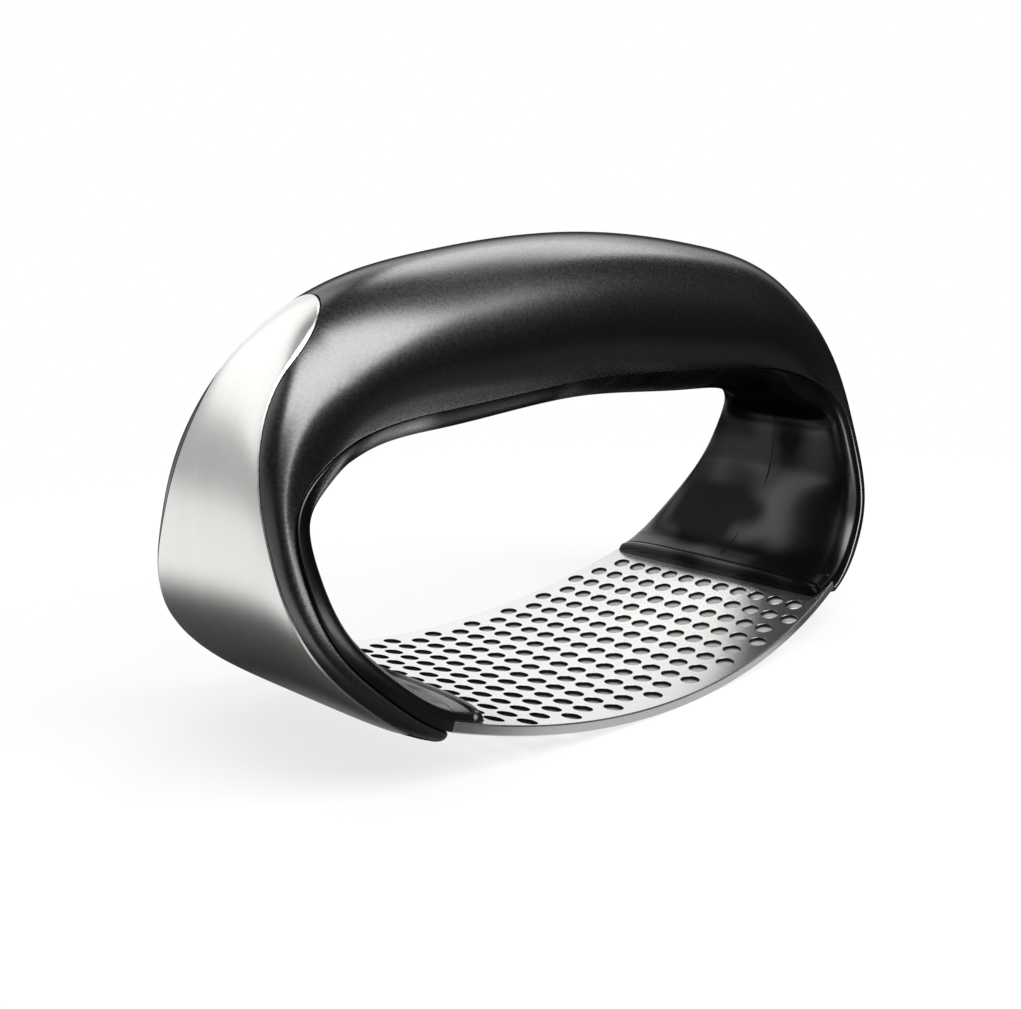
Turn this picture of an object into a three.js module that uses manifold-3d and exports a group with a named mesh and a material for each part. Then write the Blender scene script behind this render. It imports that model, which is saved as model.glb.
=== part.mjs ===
// Garlic rocker: a moulded ring handle whose bottom is closed by a curved, perforated steel plate.
// Millimetres, +Z up, X along the ring, Y across it. The origin lies under the middle of the plate,
// on the surface that the plate rocks on.

import * as THREE from 'three';
import { mergeVertices } from 'three/addons/utils/BufferGeometryUtils.js';
import Module from 'manifold-3d';

const wasm = await Module();
wasm.setup();

// Crushing plate
const rockRadius = 112;
const plateThickness = 1.2;
const plateHalfWidth = 20.8;
const plateEndHalfWidth = 17.9;
const tabHalfWidth = 11;
const tabLength = 11;
const tabCornerRadius = 3;
const tongueRoot = 3;
const tongueRelief = 0.1;

// Crushing holes: staggered rows across the plate
const holeDiameter = 2.4;
const holePitch = 3.1;
const holesInRow = 12;
const rowPitch = 3.72;
const rowCount = 17;
const holeSides = 8;
const holeEdgeMargin = 0.2;

// Where the liner's lip and the shell end, measured along X
const lipX = 32.2;
const shellEndX = 36.9;

// Seam between shell and liner, up the end and over the grip: X and Z of named stations
const heelX = 44.2;
const heelZ = 11.8;
const flankX = 48.4;
const flankZ = 17.1;
const sideX = 50;
const sideZ = 23.4;
const neckX = 49.5;
const neckZ = 29.2;
const shoulderX = 43.2;
const shoulderZ = 34.3;
const wristX = 35.6;
const wristZ = 36.4;
const armX = 23;
const armZ = 37.4;
const crownZ = 38.4;

// Half width of the ring at the stations
const endHalfWidth = 17.9;
const heelHalfWidth = 16.6;
const flankHalfWidth = 14.8;
const sideHalfWidth = 12.4;
const neckHalfWidth = 10.4;
const gripHalfWidth = 8.7;

// Height of the shell outside the seam, and depth of the liner inside it
const shellEndHeight = 1.9;
const heelHeight = 2.7;
const cheekHeight = 2.8;
const neckHeight = 3.2;
const shoulderHeight = 10.3;
const wristHeight = 14.4;
const armHeight = 16.6;
const crownHeight = 17.5;
const lipDepth = 2.9;
const cheekDepth = 2.9;
const shoulderDepth = 3.5;
const wristDepth = 2.9;
const armDepth = 2.8;
const crownDepth = 2.3;
const strapFlatness = 3.2;

// Hollow of the grip
const gripWall = 2.6;
const gripRim = 2.2;

// Steel end plates, let into the outside of the shell
const endPlateThickness = 0.8;
const endPlateFoot = 4;
const endPlateLength = 53.3;
const endPlateFootHalfWidth = 16.1;
const endPlateTipHalfWidth = 5.2;
const endPlateTipLength = 9;
const endPlateTipFlat = 0.9;

// Adhesive pads under the end plates
const padThickness = 0.5;
const padStart = 17;
const padLength = 20;
const padInset = 1.6;

// Screws that clamp shell, plate tab and liner
const screwSpacing = 13;
const screwSetback = 5.6;
const screwHeadDiameter = 3.8;
const screwHeadHeight = 0.7;
const screwShankDiameter = 2;
const screwTipHeight = 0.5;
const screwCover = 0.5;
const screwSocketDiameter = 1.6;
const screwSocketDepth = 0.4;
const screwSides = 16;

// Clearances
const seamGap = 0.3;
const slotGap = 0.2;
const inlayGap = 0.15;
const boreGap = 0.3;

// How finely curved pieces are divided
const ringStep = 3.8;
const outlineStep = 3.5;
const tongueCornerSteps = 3;
const shellArcSteps = 16;
const cavitySteps = 6;
const linerArcSteps = 12;
const chordSteps = 4;
const inlayLengthSteps = 22;
const inlayTipSteps = 5;
const inlayWidthSteps = 8;
const padSteps = 10;
const lengthSamples = 600;
const cutOverlap = 2;
const mergeDistance = 1e-4;
const rounding = 1e-9;

// Materials
const blackPlastic = { color: 0x131314, roughness: 0.42, metalness: 0 };
const linerPlastic = { color: 0x161617, roughness: 0.3, metalness: 0 };
const polishedSteel = { color: 0xd9d8d4, roughness: 0.2, metalness: 1 };
const brushedSteel = { color: 0xcfccc7, roughness: 0.34, metalness: 1 };
const screwSteel = { color: 0xa9a9a6, roughness: 0.4, metalness: 1 };
const adhesive = { color: 0xb9b5a8, roughness: 0.9, metalness: 0 };

const object = new THREE.Group();

function addPiece(name, geometry, finish) {
  const piece = new THREE.Mesh(geometry, new THREE.MeshStandardMaterial(finish));
  piece.name = name;
  object.add(piece);
}

// Closed meshes and cuts

function closedGeometry(vertices, triangles) {
  let volume = 0;
  const cross = new THREE.Vector3();
  for (const [a, b, c] of triangles) {
    volume += vertices[a].dot(cross.crossVectors(vertices[b], vertices[c]));
  }
  const outward = volume > 0 ? triangles : triangles.map(([a, b, c]) => [a, c, b]);
  const coordinates = vertices.flatMap((vertex) => vertex.toArray());
  const geometry = new THREE.BufferGeometry();
  geometry.setAttribute('position', new THREE.Float32BufferAttribute(coordinates, 3));
  geometry.setIndex(outward.flat());
  return geometry;
}

function merged(geometry) {
  const bare = geometry.clone();
  bare.deleteAttribute('normal');
  bare.deleteAttribute('uv');
  return mergeVertices(bare, mergeDistance);
}

function solid(geometry) {
  const bare = merged(geometry);
  const vertProperties = new Float32Array(bare.attributes.position.array);
  const triVerts = new Uint32Array(bare.index.array);
  return new wasm.Manifold(new wasm.Mesh({ numProp: 3, vertProperties, triVerts }));
}

function fromSolid(body) {
  const mesh = body.getMesh();
  const geometry = new THREE.BufferGeometry();
  geometry.setAttribute('position', new THREE.BufferAttribute(new Float32Array(mesh.vertProperties), 3));
  geometry.setIndex(new THREE.BufferAttribute(new Uint32Array(mesh.triVerts), 1));
  return geometry;
}

function cutFrom(geometry, cutters) {
  return fromSolid(cutters.reduce((body, cutter) => body.subtract(solid(cutter)), solid(geometry)));
}

function joined(geometries) {
  return fromSolid(geometries.map(solid).reduce((body, other) => body.add(other)));
}

// Joins a row of like outlines into a closed body; each outline is a list of points in space,
// and the flat outlines of the first and last close its ends.
function loft(rings, firstFlat, lastFlat) {
  const count = rings[0].length;
  const vertices = rings.flat();
  const triangles = [];
  for (let ring = 0; ring + 1 < rings.length; ring++) {
    for (let i = 0; i < count; i++) {
      const next = (i + 1) % count;
      const a = ring * count + i;
      const b = ring * count + next;
      triangles.push([a, b, b + count], [a, b + count, a + count]);
    }
  }
  const last = (rings.length - 1) * count;
  for (const [a, b, c] of THREE.ShapeUtils.triangulateShape(firstFlat, [])) triangles.push([a, c, b]);
  for (const [a, b, c] of THREE.ShapeUtils.triangulateShape(lastFlat, [])) {
    triangles.push([last + a, last + b, last + c]);
  }
  return closedGeometry(vertices, triangles);
}

// Ring: one closed seam curve, with the ring's half width, outer height and inner depth along it

const onRockCircle = (x) => new THREE.Vector3(x, 0, rockRadius - Math.sqrt(rockRadius ** 2 - x ** 2));
const seamStations = [
  [onRockCircle(0), endHalfWidth, shellEndHeight, lipDepth],
  [onRockCircle(lipX / 2), endHalfWidth, shellEndHeight, lipDepth],
  [onRockCircle(lipX), endHalfWidth, shellEndHeight, lipDepth],
  [onRockCircle(shellEndX), endHalfWidth, shellEndHeight, lipDepth],
  [new THREE.Vector3(heelX, 0, heelZ), heelHalfWidth, heelHeight, cheekDepth],
  [new THREE.Vector3(flankX, 0, flankZ), flankHalfWidth, cheekHeight, cheekDepth],
  [new THREE.Vector3(sideX, 0, sideZ), sideHalfWidth, cheekHeight, cheekDepth],
  [new THREE.Vector3(neckX, 0, neckZ), neckHalfWidth, neckHeight, cheekDepth],
  [new THREE.Vector3(shoulderX, 0, shoulderZ), gripHalfWidth, shoulderHeight, shoulderDepth],
  [new THREE.Vector3(wristX, 0, wristZ), gripHalfWidth, wristHeight, wristDepth],
  [new THREE.Vector3(armX, 0, armZ), gripHalfWidth, armHeight, armDepth],
  [new THREE.Vector3(0, 0, crownZ), gripHalfWidth, crownHeight, crownDepth],
];
const mirrored = seamStations.slice(1, -1).reverse().map(([point, ...size]) => [
  new THREE.Vector3(-point.x, 0, point.z),
  ...size,
]);
const loop = [...seamStations, ...mirrored];
const seam = new THREE.CatmullRomCurve3(loop.map(([point]) => point), true, 'centripetal');
const sizePoints = loop.map(([, ...size]) => new THREE.Vector3(...size));
const sizes = new THREE.CatmullRomCurve3(sizePoints, true, 'centripetal');

// Where the stations lie along the closed curve, counted from 0 to 1
const stationAt = (x) => seamStations.findIndex(([point]) => point.x === x) / loop.length;
const lipAt = stationAt(lipX);
const shellEndAt = stationAt(shellEndX);
const flankAt = stationAt(flankX);
const crownAt = (seamStations.length - 1) / loop.length;

function section(at) {
  const origin = seam.getPoint(at);
  const tangent = seam.getTangent(at);
  const outward = new THREE.Vector3(tangent.z, 0, -tangent.x);
  const { x: halfWidth, y: outer, z: inner } = sizes.getPoint(at);
  const half = (outer + inner) / 2;
  const middle = (outer - inner) / 2;
  const power = 2 + strapFlatness * Math.max(0, 1 - half / halfWidth);
  return { origin, tangent, outward, halfWidth, outer, inner, half, middle, power };
}

function place(sect, [y, out]) {
  return sect.origin.clone().addScaledVector(sect.outward, out).add(new THREE.Vector3(0, y, 0));
}

const rounded = (value, power) => Math.sign(value) * Math.abs(value) ** (2 / power);

// Points of the section's outline from one angle to another; angle 0 is its widest point in front
function outlineArc(sect, from, to, steps) {
  return Array.from({ length: steps + 1 }, (_, i) => {
    const angle = from + ((to - from) * i) / steps;
    const y = sect.halfWidth * rounded(Math.cos(angle), sect.power);
    return [y, sect.middle + sect.half * rounded(Math.sin(angle), sect.power)];
  });
}

// Angle at which the outline crosses a given height over the seam
function crossingAngle(sect, out) {
  const share = THREE.MathUtils.clamp((out - sect.middle) / sect.half, -1, 1);
  return Math.asin(Math.sign(share) * Math.abs(share) ** (sect.power / 2));
}

// Height of the outer surface over the seam at a distance y from the middle
function outerAt(sect, y) {
  const share = Math.min(1, Math.abs(y) / sect.halfWidth);
  return sect.middle + sect.half * (1 - share ** sect.power) ** (1 / sect.power);
}

// A line of points from one place on the seam to another, with the length up to each of them
function sampled(from, to, pointAt) {
  const stops = Array.from({ length: lengthSamples + 1 }, (_, i) => {
    return from + ((to - from) * i) / lengthSamples;
  });
  const lengths = [0];
  for (let i = 1; i <= lengthSamples; i++) {
    lengths.push(lengths[i - 1] + pointAt(stops[i]).distanceTo(pointAt(stops[i - 1])));
  }
  return { stops, lengths };
}

// The place on the seam at a length along such a line
function placeAt({ stops, lengths }, length) {
  const i = Math.max(1, lengths.findIndex((value) => value >= length - rounding));
  const share = (length - lengths[i - 1]) / (lengths[i] - lengths[i - 1]);
  return stops[i - 1] + (stops[i] - stops[i - 1]) * THREE.MathUtils.clamp(share, 0, 1);
}

const seamPoint = (at) => seam.getPoint(at);

// Places along the seam, evenly spaced between two of them
function spaced(from, to, step) {
  const line = sampled(from, to, seamPoint);
  const total = line.lengths.at(-1);
  const count = Math.ceil(total / step);
  return Array.from({ length: count + 1 }, (_, i) => placeAt(line, (total * i) / count));
}

// The flat chord of a section, from the back edge to the front one, without its two ends
function chord(reach, out) {
  const share = (i) => -1 + (2 * (i + 1)) / chordSteps;
  return Array.from({ length: chordSteps - 1 }, (_, i) => [reach * share(i), out]);
}

const toFlat = (outline) => outline.map(([y, out]) => new THREE.Vector2(y, out));

function loftOutlines(stops, outlineOf) {
  const sections = stops.map(section);
  const outlines = sections.map(outlineOf);
  const rings = outlines.map((outline, i) => outline.map((point) => place(sections[i], point)));
  return loft(rings, toFlat(outlines[0]), toFlat(outlines.at(-1)));
}

// Outer shell, hollow along the grip

function shellOutline(sect) {
  const base = seamGap / 2;
  const start = crossingAngle(sect, base);
  const arc = outlineArc(sect, start, Math.PI - start, shellArcSteps);
  const reach = Math.max(arc[0][0] - gripRim, gripRim);
  const depth = Math.max(0, sect.outer - gripWall - base);
  const cavity = Array.from({ length: cavitySteps + 1 }, (_, i) => {
    const angle = Math.PI - (Math.PI * i) / cavitySteps;
    return [reach * Math.cos(angle), base + depth * Math.sin(angle)];
  });
  return [...arc, ...cavity];
}

// Inner liner, a solid strap that covers the inside of the ring

function linerOutline(sect) {
  const base = -seamGap / 2;
  const start = crossingAngle(sect, base);
  const arc = outlineArc(sect, Math.PI - start, 2 * Math.PI + start, linerArcSteps);
  const reach = arc.at(-1)[0];
  return [...arc, ...chord(reach, base).reverse()];
}

// Crushing plate: a flat outline with holes, rolled along the seam curve

const endLength = rockRadius * Math.asin(shellEndX / rockRadius);
const lipLength = rockRadius * Math.asin(lipX / rockRadius);
const tongueLine = sampled(shellEndAt, flankAt, seamPoint);

// A point of the flat strip that carries one row of holes. Strips touch the rocking circle in their
// middle, so the plate rests on the one at its centre.
function onStrip(row, along, y, inside) {
  const angle = (row * rowPitch) / rockRadius;
  const radius = rockRadius - inside;
  const fold = radius * Math.tan(rowPitch / 2 / rockRadius);
  const local = along - row * rowPitch;
  const reach = Math.abs(local) > rowPitch / 2 - rounding ? Math.sign(local) * fold : local;
  const x = radius * Math.sin(angle) + reach * Math.cos(angle);
  const z = rockRadius - radius * Math.cos(angle) + reach * Math.sin(angle);
  return new THREE.Vector3(x, y, z);
}

// A point at a length along the rolled plate and a height inside it
function rolled(along, y, inside) {
  const length = Math.abs(along);
  const side = Math.sign(along) || 1;
  if (length <= endLength) return onStrip(Math.round(along / rowPitch), along, y, inside);
  const sect = section(placeAt(tongueLine, length - endLength));
  const point = place(sect, [y, -inside]);
  point.x *= side;
  return point;
}

const barrel = (along) => {
  const narrowing = (plateHalfWidth - plateEndHalfWidth) * (along / endLength) ** 2;
  return plateHalfWidth - narrowing;
};

// Lengths along the plate from one to another, no further apart than the outline's step
function stepsAlong(from, to) {
  const count = Math.ceil((to - from) / outlineStep);
  return Array.from({ length: count + 1 }, (_, i) => from + ((to - from) * i) / count);
}

// A plain strip of the rolled plate, given by lengths along it with the half width at each
function ribbon(stops, outside, inside) {
  const corners = [[-1, outside], [1, outside], [1, inside], [-1, inside]];
  const flats = stops.map(([, reach]) => corners.map(([side, height]) => [side * reach, height]));
  const rings = flats.map((flat, i) => flat.map(([y, height]) => rolled(stops[i][0], y, height)));
  return loft(rings, toFlat(flats[0]), toFlat(flats.at(-1)));
}

// The tongue at one end, rooted in the plate, with round corners; grow widens it into its slot
function tongue(side, grow, outside, inside) {
  const reach = tabHalfWidth + grow;
  const end = endLength + tabLength + grow;
  const corner = end - tabCornerRadius;
  const straight = stepsAlong(endLength - tongueRoot, corner).map((along) => [along, reach]);
  const round = Array.from({ length: tongueCornerSteps }, (_, i) => {
    const angle = (Math.PI / 2) * ((i + 1) / tongueCornerSteps);
    const back = tabCornerRadius * (1 - Math.cos(angle));
    return [corner + tabCornerRadius * Math.sin(angle), reach - back];
  });
  return ribbon([...straight, ...round].map(([along, width]) => [side * along, width]), outside, inside);
}

function roundHole([x, y]) {
  const radius = holeDiameter / 2;
  return Array.from({ length: holeSides }, (_, i) => {
    const angle = (-2 * Math.PI * (i + 0.5)) / holeSides;
    return new THREE.Vector2(x + radius * Math.cos(angle), y + radius * Math.sin(angle));
  });
}

// Centres of the crushing holes: rows shift by half a pitch in turn and keep clear of edge and lip
function holeCentres() {
  const centres = [];
  const radius = holeDiameter / 2;
  const middleRow = (rowCount - 1) / 2;
  for (let row = 0; row < rowCount; row++) {
    const along = (row - middleRow) * rowPitch;
    const shift = (row % 2 === 0 ? 1 : -1) * (holePitch / 4);
    for (let hole = 0; hole < holesInRow; hole++) {
      const across = (hole - (holesInRow - 1) / 2) * holePitch + shift;
      const inWidth = Math.abs(across) + radius + holeEdgeMargin <= barrel(along);
      const inLength = Math.abs(along) + radius + holeEdgeMargin <= lipLength;
      if (inWidth && inLength) centres.push([along, across]);
    }
  }
  return centres;
}

// The perforated sheet: flat strips, one to a row, that meet along straight folds
function perforatedSheet() {
  const end = endLength - slotGap;
  const lastRow = Math.round(end / rowPitch);
  const centres = holeCentres();
  const vertices = [];
  const triangles = [];
  const wall = (ring, start, count, from, to) => {
    for (let i = from; i < to; i++) {
      const a = start + ring[i];
      const b = start + ring[(i + 1) % ring.length];
      triangles.push([a, b, b + count], [a, b + count, a + count]);
    }
  };
  for (let row = -lastRow; row <= lastRow; row++) {
    const left = Math.max(-end, (row - 0.5) * rowPitch);
    const right = Math.min(end, (row + 0.5) * rowPitch);
    const outline = [[left, -1], [right, -1], [right, 1], [left, 1]];
    const contour = outline.map(([along, side]) => new THREE.Vector2(along, side * barrel(along)));
    const holes = centres.filter(([along]) => Math.round(along / rowPitch) === row).map(roundHole);
    const flat = [contour, ...holes].flat();
    const count = flat.length;
    const start = vertices.length;
    const upper = start + count;
    for (const height of [0, plateThickness]) {
      vertices.push(...flat.map(({ x, y }) => onStrip(row, x, y, height)));
    }
    for (const [a, b, c] of THREE.ShapeUtils.triangulateShape(contour, holes)) {
      triangles.push([start + a, start + c, start + b], [upper + a, upper + b, upper + c]);
    }
    const sides = [0, 1, 2, 3];
    wall(sides, start, count, 0, 1);
    wall(sides, start, count, 2, 3);
    if (row === lastRow) wall(sides, start, count, 1, 2);
    if (row === -lastRow) wall(sides, start, count, 3, 4);
    holes.forEach((_, i) => {
      const rim = Array.from({ length: holeSides }, (unused, k) => contour.length + i * holeSides + k);
      wall(rim, start, count, 0, holeSides);
    });
  }
  return merged(closedGeometry(vertices, triangles));
}

// Screws: two at each end, square to the shell, their heads under the end plate and their tips
// covered by the liner

const screwPlaces = [1, -1].flatMap((end) => [-1, 1].map((front) => [end, front * (screwSpacing / 2)]));
const screwSection = section(placeAt(tongueLine, screwSetback));
const screwTop = outerAt(screwSection, screwSpacing / 2) - endPlateThickness - 2 * inlayGap;
const screwSeat = screwTop - screwHeadHeight;
const screwTip = boreGap + screwCover - screwSection.inner;

function turned(profile) {
  const points = profile.map(([radius, height]) => new THREE.Vector2(radius, height));
  return merged(new THREE.LatheGeometry(points, screwSides));
}

// Stands a turned piece on the seam, its axis along the outward normal, at one of the screw places
function atScrew(geometry, [end, y]) {
  const { origin, outward } = screwSection;
  const axis = new THREE.Vector3(end * outward.x, 0, outward.z);
  const turn = new THREE.Quaternion().setFromUnitVectors(new THREE.Vector3(0, 1, 0), axis);
  const spot = new THREE.Vector3(end * origin.x, y, origin.z);
  return geometry.clone().applyMatrix4(new THREE.Matrix4().compose(spot, turn, new THREE.Vector3(1, 1, 1)));
}

const screwProfile = turned([
  [0, screwTip],
  [screwShankDiameter / 2, screwTip + screwTipHeight],
  [screwShankDiameter / 2, screwSeat],
  [screwHeadDiameter / 2, screwSeat],
  [screwHeadDiameter / 2, screwTop],
  [screwSocketDiameter / 2, screwTop],
  [screwSocketDiameter / 2, screwTop - screwSocketDepth],
  [0, screwTop - screwSocketDepth],
]);
const boreRadius = screwShankDiameter / 2 + boreGap;
const headRadius = screwHeadDiameter / 2 + boreGap;
const screwBore = turned([
  [0, screwTip - boreGap],
  [boreRadius, screwTip - boreGap],
  [boreRadius, screwSeat - slotGap],
  [headRadius, screwSeat - slotGap],
  [headRadius, screwTop + cutOverlap],
  [0, screwTop + cutOverlap],
]);

// End plates and their pads: bands of the shell's outer surface

const crestLine = sampled(shellEndAt, crownAt, (at) => {
  const sect = section(at);
  return place(sect, [0, sect.outer]);
});
const endPlateNeck = endPlateLength - endPlateTipLength;

// Half width of an end plate at a distance from its foot: wide foot, narrow neck, round tip
function endPlateReach(length, grow) {
  const past = Math.max(0, length - endPlateNeck) / (endPlateTipLength + grow);
  if (past > 0) return (endPlateTipHalfWidth + grow) * Math.sqrt(Math.max(0, 1 - past ** 2));
  const blend = (1 + Math.cos((Math.PI * Math.max(0, length)) / endPlateNeck)) / 2;
  return endPlateTipHalfWidth + (endPlateFootHalfWidth - endPlateTipHalfWidth) * blend + grow;
}

// A band that follows the outer surface between two depths under it, for the right-hand end;
// grow widens it beyond the end plate's own outline
function inlay(lengths, grow, top, bottom) {
  const stops = lengths.map((length) => placeAt(crestLine, endPlateFoot + length));
  const reaches = lengths.map((length) => endPlateReach(length, grow));
  const sections = stops.map(section);
  const outlines = sections.map((sect, i) => {
    const row = Array.from({ length: inlayWidthSteps + 1 }, (_, k) => {
      const y = reaches[i] * (1 - (2 * k) / inlayWidthSteps);
      return [y, outerAt(sect, y)];
    });
    const upper = row.map(([y, out]) => [y, out - top]);
    const lower = row.map(([y, out]) => [y, out - bottom]).reverse();
    return [...upper, ...lower];
  });
  const rings = outlines.map((outline, i) => outline.map((point) => place(sections[i], point)));
  return loft(rings, toFlat(outlines[0]), toFlat(outlines.at(-1)));
}

// Distances along an end plate, closer together round its tip
function inlayLengths(grow) {
  const tipAngle = Math.acos(endPlateTipFlat / endPlateTipHalfWidth);
  const straight = Array.from({ length: inlayLengthSteps + 1 }, (_, i) => {
    return (endPlateNeck + grow) * (i / inlayLengthSteps) - grow;
  });
  const round = Array.from({ length: inlayTipSteps }, (_, i) => {
    const angle = ((i + 1) / inlayTipSteps) * tipAngle;
    return endPlateNeck + (endPlateTipLength + grow) * Math.sin(angle);
  });
  return [...straight, ...round];
}

// Distances along a pad, or along the recess that is a little longer at both ends
function padLengths(grow) {
  const start = padStart - grow;
  const length = padLength + 2 * grow;
  return Array.from({ length: padSteps + 1 }, (_, i) => start + (length * i) / padSteps);
}

const recessDepth = endPlateThickness + inlayGap;
const padDepth = recessDepth + padThickness;
const endPlate = inlay(inlayLengths(0), 0, 0, endPlateThickness);
const endRecess = inlay(inlayLengths(inlayGap), inlayGap, -cutOverlap, recessDepth);
const pad = inlay(padLengths(0), -padInset, recessDepth, padDepth);
const padRecess = inlay(padLengths(inlayGap), inlayGap - padInset, 0, padDepth + inlayGap);

function mirroredX(geometry) {
  const copy = geometry.clone().scale(-1, 1, 1);
  const index = copy.index.array;
  for (let i = 0; i < index.length; i += 3) {
    [index[i + 1], index[i + 2]] = [index[i + 2], index[i + 1]];
  }
  return copy;
}

// Assembly

const bores = screwPlaces.map((spot) => atScrew(screwBore, spot));
const recesses = [endRecess, padRecess].flatMap((recess) => [recess, mirroredX(recess)]);
const slotDepth = plateThickness + slotGap;
const slotReach = Math.max(plateHalfWidth, endHalfWidth) + cutOverlap;
const sheetSteps = stepsAlong(-endLength, endLength).map((along) => [along, slotReach]);
const plateSlots = [
  ribbon(sheetSteps, -cutOverlap, slotDepth),
  tongue(1, slotGap, -cutOverlap, slotDepth),
  tongue(-1, slotGap, -cutOverlap, slotDepth),
];

const shell = loftOutlines(spaced(shellEndAt, 1 - shellEndAt, ringStep), shellOutline);
const liner = loftOutlines(spaced(lipAt, 1 - lipAt, ringStep), linerOutline);
addPiece('handle_shell', cutFrom(shell, [...recesses, ...bores]), blackPlastic);
addPiece('inner_liner', cutFrom(liner, [...plateSlots, ...bores]), linerPlastic);

const tongues = [1, -1].map((side) => tongue(side, 0, tongueRelief, plateThickness - tongueRelief));
addPiece('crushing_plate', cutFrom(joined([perforatedSheet(), ...tongues]), bores), polishedSteel);

addPiece('right_end_plate', endPlate, brushedSteel);
addPiece('left_end_plate', mirroredX(endPlate), brushedSteel);
addPiece('right_adhesive_pad', pad, adhesive);
addPiece('left_adhesive_pad', mirroredX(pad), adhesive);
const screwNames = ['right_front_screw', 'right_back_screw', 'left_front_screw', 'left_back_screw'];
screwPlaces.forEach((spot, i) => addPiece(screwNames[i], atScrew(screwProfile, spot), screwSteel));

export default object;
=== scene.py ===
"""A garlic rocker dressed for rendering: a moulded black ring handle that holds a curved, perforated
steel plate, with brushed steel plates let into its ends.

Everything is in metres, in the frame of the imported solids: +Z up, X along the ring, Y across it, and
the origin under the middle of the plate."""

import math

import bmesh
import bpy
import numpy as np
from bpy.props import FloatProperty, FloatVectorProperty, IntProperty, PointerProperty
from mathutils import Matrix, Vector
from mathutils.geometry import delaunay_2d_cdt


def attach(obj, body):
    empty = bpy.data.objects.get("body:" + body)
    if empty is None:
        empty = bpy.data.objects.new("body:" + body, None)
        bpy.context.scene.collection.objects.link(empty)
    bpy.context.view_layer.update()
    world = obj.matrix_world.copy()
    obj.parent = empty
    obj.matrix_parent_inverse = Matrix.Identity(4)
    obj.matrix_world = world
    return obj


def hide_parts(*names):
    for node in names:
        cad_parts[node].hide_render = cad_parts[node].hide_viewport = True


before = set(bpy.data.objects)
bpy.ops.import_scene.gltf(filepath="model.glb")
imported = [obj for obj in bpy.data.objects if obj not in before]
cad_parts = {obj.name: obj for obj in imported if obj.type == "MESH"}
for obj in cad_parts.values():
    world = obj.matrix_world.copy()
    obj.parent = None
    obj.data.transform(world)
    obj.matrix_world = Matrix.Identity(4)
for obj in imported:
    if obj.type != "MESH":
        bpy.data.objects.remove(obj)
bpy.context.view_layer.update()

bl_info = {
    "name": "Garlic Rocker",
    "version": (1, 0, 0),
    "blender": (4, 5, 0),
    "location": "View3D > Sidebar > Rocker",
    "description": "Builds a garlic rocker piece by piece around its packed solids",
    "category": "Add Mesh",
}

BODY = "root"

# How finely the surfaces are divided
RIM_SPAN_STEPS = 34
OPENING_STEPS = 30
LINER_STEPS = 90
CORNER_STEPS = 6
CHORD_STEPS = 6
ARC_SAMPLES = 720
TRACK_SAMPLES = 4000
ROW_STEP = 0.0007
FINE_STEP = 0.00006
HOLE_SIDES = 32
TIP_STEPS = 18
BAND_COLUMNS = 40
PARTING_POINTS = 5
LIP_FLOOR_MARGIN = 1.02
LINER_RIM_SHARE = 0.5
MERGE_DISTANCE = 1e-7
INSIDE_ONLY = 1
SPOT_TOLERANCE = 1e-9
SHARP_ANGLE = math.radians(32)

# The mark on the upper walls of the holes, which the plate's steel reads as a painted shade: near black steel
# standing in for the shade inside the holes
HOLE_SHADE_MARK = "painted_hole_shade"


# Sizes and colours that a user would change


def length(name, description, default):
    """A length in metres."""
    return FloatProperty(name=name, description=description, default=default, unit="LENGTH", precision=5)


def station(name, x, z, half_width, height, depth):
    """A place on the seam between shell and liner, with the sizes of the ring there."""
    words = "X and Z of the seam, half width of the ring, height of the shell and depth of the liner"
    return FloatVectorProperty(
        name=name,
        description=f"{words}, at the {name.lower()}",
        default=(x, z, half_width, height, depth),
        size=5,
        unit="LENGTH",
        precision=5,
    )


def colour(name, description, default):
    """A colour in linear light."""
    return FloatVectorProperty(
        name=name, description=description, default=default, size=3, subtype="COLOR", min=0.0, max=1.0
    )


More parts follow.
